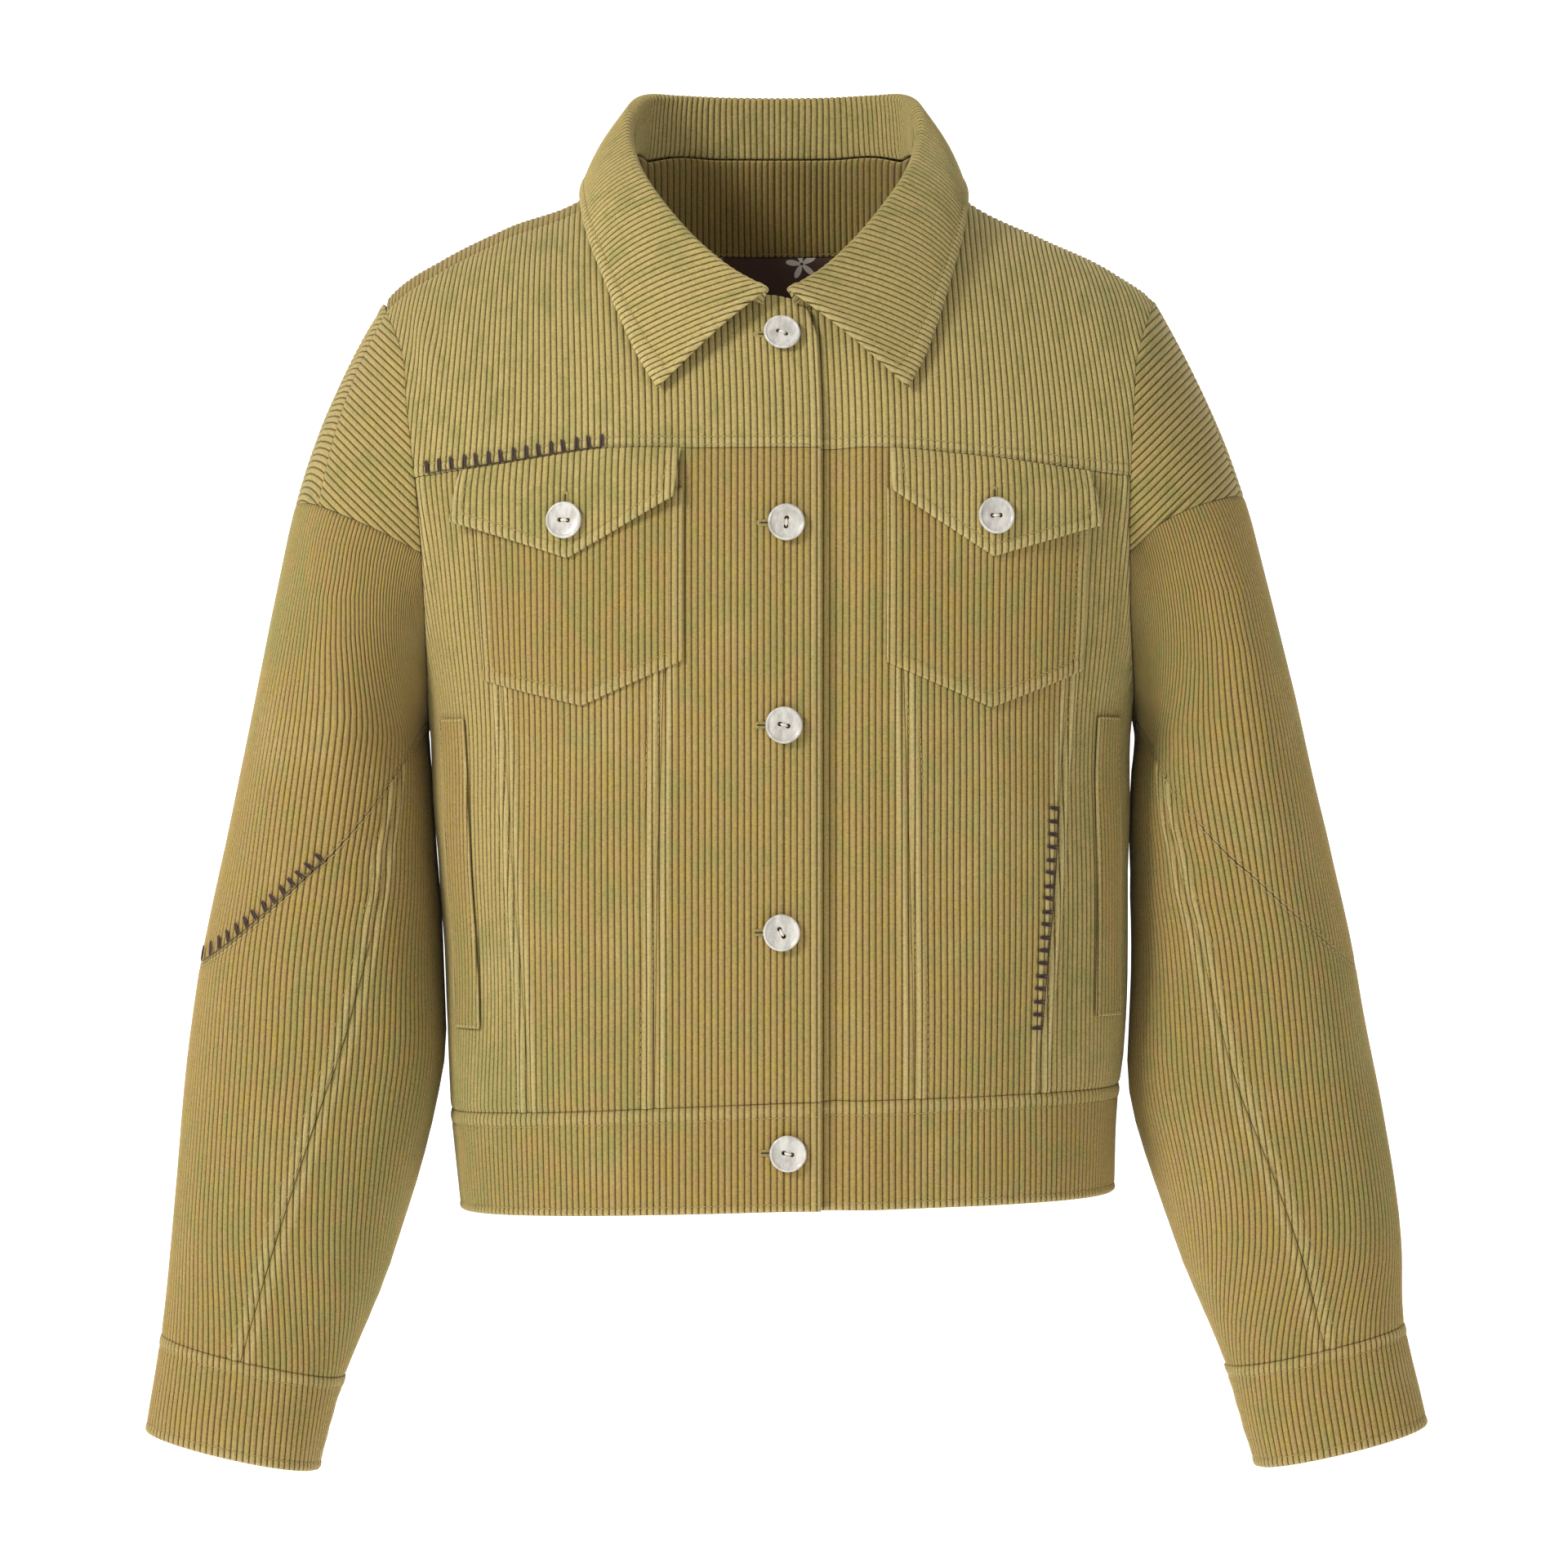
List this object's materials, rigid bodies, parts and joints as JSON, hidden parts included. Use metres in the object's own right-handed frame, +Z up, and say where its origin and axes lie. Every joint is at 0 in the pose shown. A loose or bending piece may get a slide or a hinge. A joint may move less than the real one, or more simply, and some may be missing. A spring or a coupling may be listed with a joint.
{
  "type": "corduroy jacket",
  "caption": "Waist-length button-front corduroy jacket with a collar, chest pockets and long sleeves, filled out as if worn.",
  "frame": {"origin": "midway between the two neck points of the shoulders, where the wearer's shoulders hold the jacket", "axes": "+Z up, the front faces -Y, +X is the wearer's left"},
  "size_m": [0.6629, 0.2489, 0.7224],
  "materials": {
    "corduroy": "ribbed cotton corduroy, olive mustard, soft nap",
    "lining": "smooth dark brown printed cotton",
    "button": "pale grey two-hole button with a bright rim"
  },
  "bodies": {
    "root": {"back": "corduroy", "button_1": "button", "button_2": "button", "button_3": "button", "button_4": "button", "button_5": "button", "button_flap_left": "button", "button_flap_right": "button", "cap_back_left": "corduroy", "cap_back_right": "corduroy", "cap_front_left": "corduroy", "cap_front_right": "corduroy", "collar": "corduroy", "cuff_left": "corduroy", "cuff_right": "corduroy", "flap_left": "corduroy", "flap_right": "corduroy", "front_centre_left": "corduroy", "front_centre_right": "corduroy", "front_middle_left": "corduroy", "front_middle_right": "corduroy", "front_side_left": "corduroy", "front_side_right": "corduroy", "front_yoke_left": "corduroy", "front_yoke_right": "corduroy", "lining_back": "lining", "neck_facing_back": "corduroy", "pocket_left": "corduroy", "pocket_right": "corduroy", "sleeve_outer_left": "corduroy", "sleeve_outer_right": "corduroy", "sleeve_under_left": "corduroy", "sleeve_under_right": "corduroy", "sleeve_upper_left": "corduroy", "sleeve_upper_right": "corduroy", "waistband_back": "corduroy", "waistband_front_left": "corduroy", "waistband_front_right": "corduroy", "welt_left": "corduroy", "welt_right": "corduroy"}
  },
  "joints": []
}
